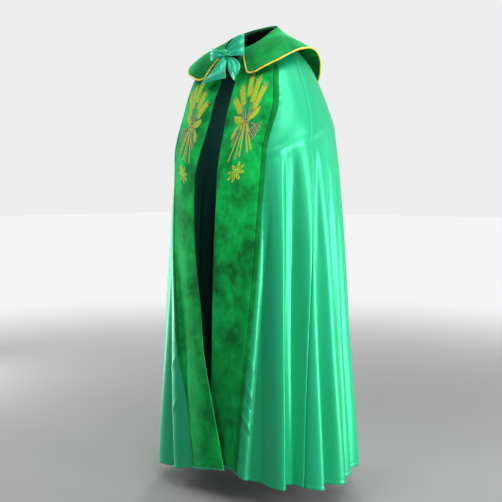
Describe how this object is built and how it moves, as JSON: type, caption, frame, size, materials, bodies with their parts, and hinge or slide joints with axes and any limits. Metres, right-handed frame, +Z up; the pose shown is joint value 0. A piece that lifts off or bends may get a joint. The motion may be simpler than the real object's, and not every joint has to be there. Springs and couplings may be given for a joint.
{
  "type": "cope vestment",
  "caption": "Long open-fronted liturgical cloak of satin with velvet front bands, a wide piped collar and a ribbon bow at the neck.",
  "frame": {"origin": "middle of the neck opening, 1.400 m above the hem, where the wearer's shoulders and neck hold the garment", "axes": "+Z up, front faces -Y, the wearer's left is +X"},
  "size_m": [0.7253, 0.5626, 1.5177],
  "materials": {
    "satin": "glossy polyester satin",
    "velvet": "crushed velvet pile",
    "velvet_edging": "folded velvet edging",
    "collar_velvet": "interfaced velvet",
    "piping": "gold cord piping",
    "ribbon": "satin ribbon"
  },
  "bodies": {
    "root": {"back": "satin", "front_left": "satin", "front_right": "satin", "band_left": "velvet", "band_right": "velvet", "strip_left": "velvet_edging", "strip_right": "velvet_edging", "collar": "collar_velvet", "collar_piping": "piping", "bow_knot": "ribbon", "bow_loop_left": "ribbon", "bow_loop_right": "ribbon", "bow_tail_left": "ribbon", "bow_tail_right": "ribbon", "tie_left": "ribbon", "tie_right": "ribbon"}
  },
  "joints": []
}
